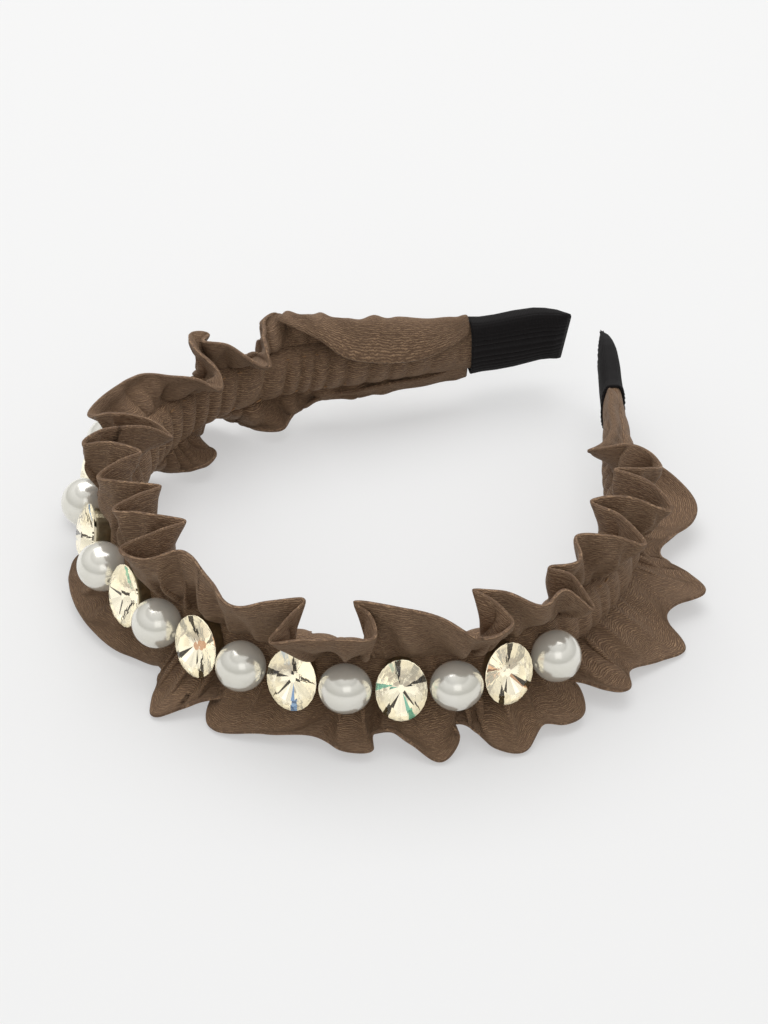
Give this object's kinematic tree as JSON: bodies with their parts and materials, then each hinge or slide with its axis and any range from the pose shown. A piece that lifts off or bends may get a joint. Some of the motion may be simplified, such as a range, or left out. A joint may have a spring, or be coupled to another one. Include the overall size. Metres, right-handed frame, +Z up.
{
  "type": "headband",
  "caption": "Springy open-ended headband in a ruffled satin sleeve, with a row of pearls and oval crystals along the crown and ribbed caps on both ends.",
  "frame": {"origin": "on the table, under the centre of the whole headband's outline", "axes": "the band lies on its side edge: +Z up, -Y is the crown with the beads, +Y the open ends, X from one arm to the other"},
  "size_m": [0.1596, 0.1616, 0.0391],
  "materials": {
    "satin": "soft satin sheen",
    "grosgrain": "matte, ribbed",
    "core": "smooth",
    "pearl": "pearl lustre",
    "crystal": "cut and polished",
    "crystal_seat": "pressed foil cup"
  },
  "bodies": {
    "crown": {"core_crown": "core", "channel_crown": "satin", "upper_ruffle_crown": "satin", "lower_ruffle_crown": "satin", "pearl_4": "pearl", "pearl_5": "pearl", "crystal_3": "crystal", "crystal_seat_3": "crystal_seat", "crystal_4": "crystal", "crystal_seat_4": "crystal_seat", "crystal_5": "crystal", "crystal_seat_5": "crystal_seat"},
    "left_shoulder": {"core_left_shoulder": "core", "channel_left_shoulder": "satin", "upper_ruffle_left_shoulder": "satin", "lower_ruffle_left_shoulder": "satin", "pearl_1": "pearl", "pearl_2": "pearl", "pearl_3": "pearl", "crystal_1": "crystal", "crystal_seat_1": "crystal_seat", "crystal_2": "crystal", "crystal_seat_2": "crystal_seat"},
    "right_shoulder": {"core_right_shoulder": "core", "channel_right_shoulder": "satin", "upper_ruffle_right_shoulder": "satin", "lower_ruffle_right_shoulder": "satin", "pearl_6": "pearl", "pearl_7": "pearl", "pearl_8": "pearl", "crystal_6": "crystal", "crystal_seat_6": "crystal_seat", "crystal_7": "crystal", "crystal_seat_7": "crystal_seat"},
    "left_arm": {"core_left_arm": "core", "channel_left_arm": "satin", "upper_ruffle_left_arm": "satin", "lower_ruffle_left_arm": "satin", "left_end_cap": "grosgrain"},
    "right_arm": {"core_right_arm": "core", "channel_right_arm": "satin", "upper_ruffle_right_arm": "satin", "lower_ruffle_right_arm": "satin", "right_end_cap": "grosgrain"}
  },
  "joints": [
    {"name": "left_shoulder_bend", "type": "hinge", "parent": "crown", "child": "left_shoulder", "pos_m": [-0.03134, -0.06871, 0.016], "axis": [0, 0, 1], "range_deg": [0, 15], "stiffness_Nm_per_rad": 0.8},
    {"name": "left_arm_bend", "type": "hinge", "parent": "left_shoulder", "child": "left_arm", "pos_m": [-0.07085, -0.01382, 0.016], "axis": [0, 0, 1], "range_deg": [0, 10], "stiffness_Nm_per_rad": 0.6},
    {"name": "right_shoulder_bend", "type": "hinge", "parent": "crown", "child": "right_shoulder", "pos_m": [0.03134, -0.06871, 0.016], "axis": [0, 0, -1], "range_deg": [0, 15], "stiffness_Nm_per_rad": 0.8},
    {"name": "right_arm_bend", "type": "hinge", "parent": "right_shoulder", "child": "right_arm", "pos_m": [0.07085, -0.01382, 0.016], "axis": [0, 0, -1], "range_deg": [0, 10], "stiffness_Nm_per_rad": 0.6}
  ],
  "couplings": [
    {"joint": "left_arm_bend", "follows": "left_shoulder_bend", "ratio": 0.6666},
    {"joint": "right_arm_bend", "follows": "right_shoulder_bend", "ratio": 0.6666}
  ]
}
